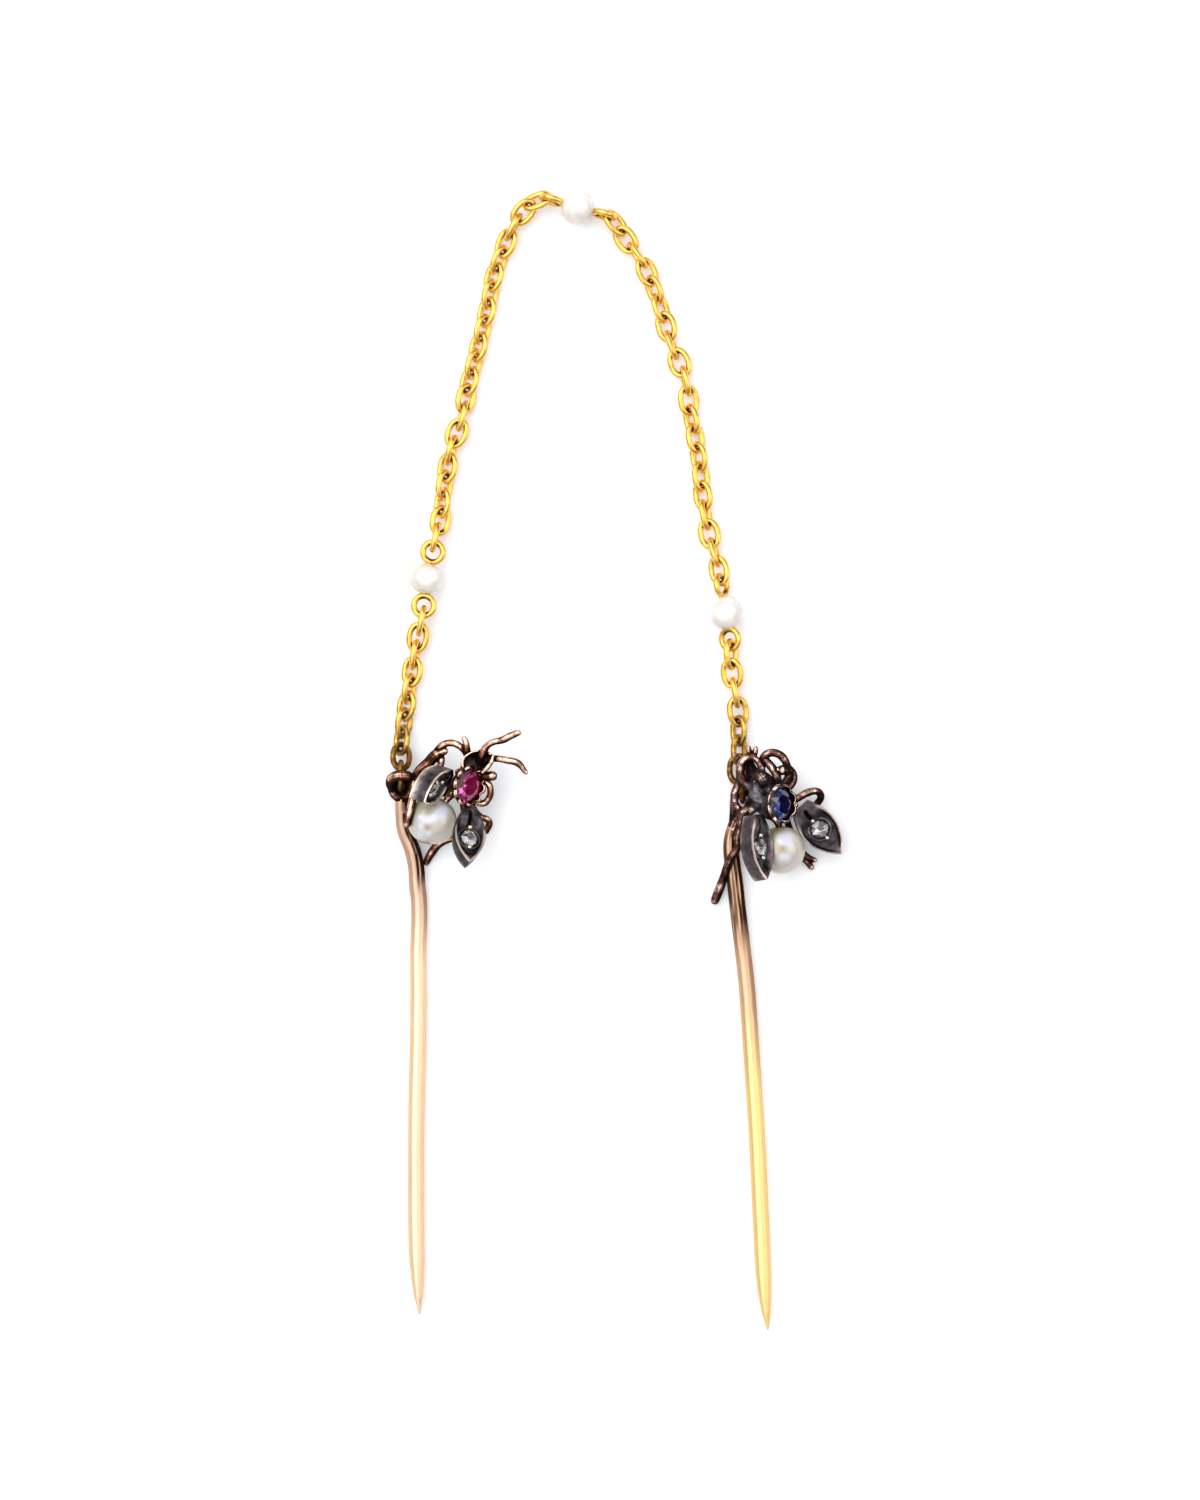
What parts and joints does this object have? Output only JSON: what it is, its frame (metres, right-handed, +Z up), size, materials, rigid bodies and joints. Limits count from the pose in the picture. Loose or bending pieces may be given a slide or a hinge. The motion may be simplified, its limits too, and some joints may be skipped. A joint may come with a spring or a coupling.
{
  "type": "double stick pin with chain",
  "caption": "Two jewelled insect stick pins joined by a cable chain with small pearls, lying flat in an arch.",
  "frame": {"origin": "middle of the overall width and length, on the surface that the piece lies on", "axes": "+Z up from the surface, +Y from the pin points to the arch of the chain, +X to the sapphire pin"},
  "size_m": [0.0407, 0.1023, 0.0079],
  "materials": {
    "rose_gold": "worn and darkened in the hollows",
    "yellow_gold": "polished, worn",
    "dark_silver": "oxidised, with polished rims",
    "ruby": "faceted",
    "sapphire": "faceted",
    "diamond": "rose cut",
    "pearl": "pearly"
  },
  "bodies": {
    "root": {"left_pin": "rose_gold", "right_pin": "rose_gold", "left_wing_upper": "dark_silver", "left_wing_lower": "dark_silver", "right_wing_upper": "dark_silver", "right_wing_lower": "dark_silver", "left_ruby": "ruby", "right_sapphire": "sapphire", "left_pearl": "pearl", "right_pearl": "pearl", "left_diamond_upper": "diamond", "left_diamond_lower": "diamond", "right_diamond_upper": "diamond", "right_diamond_lower": "diamond", "chain_left": "yellow_gold", "chain_right": "yellow_gold", "chain_pearl_left": "pearl", "chain_pearl_top": "pearl", "chain_pearl_right": "pearl", "pearl_wire_left": "yellow_gold", "pearl_wire_top": "yellow_gold", "pearl_wire_right": "yellow_gold"}
  },
  "joints": []
}
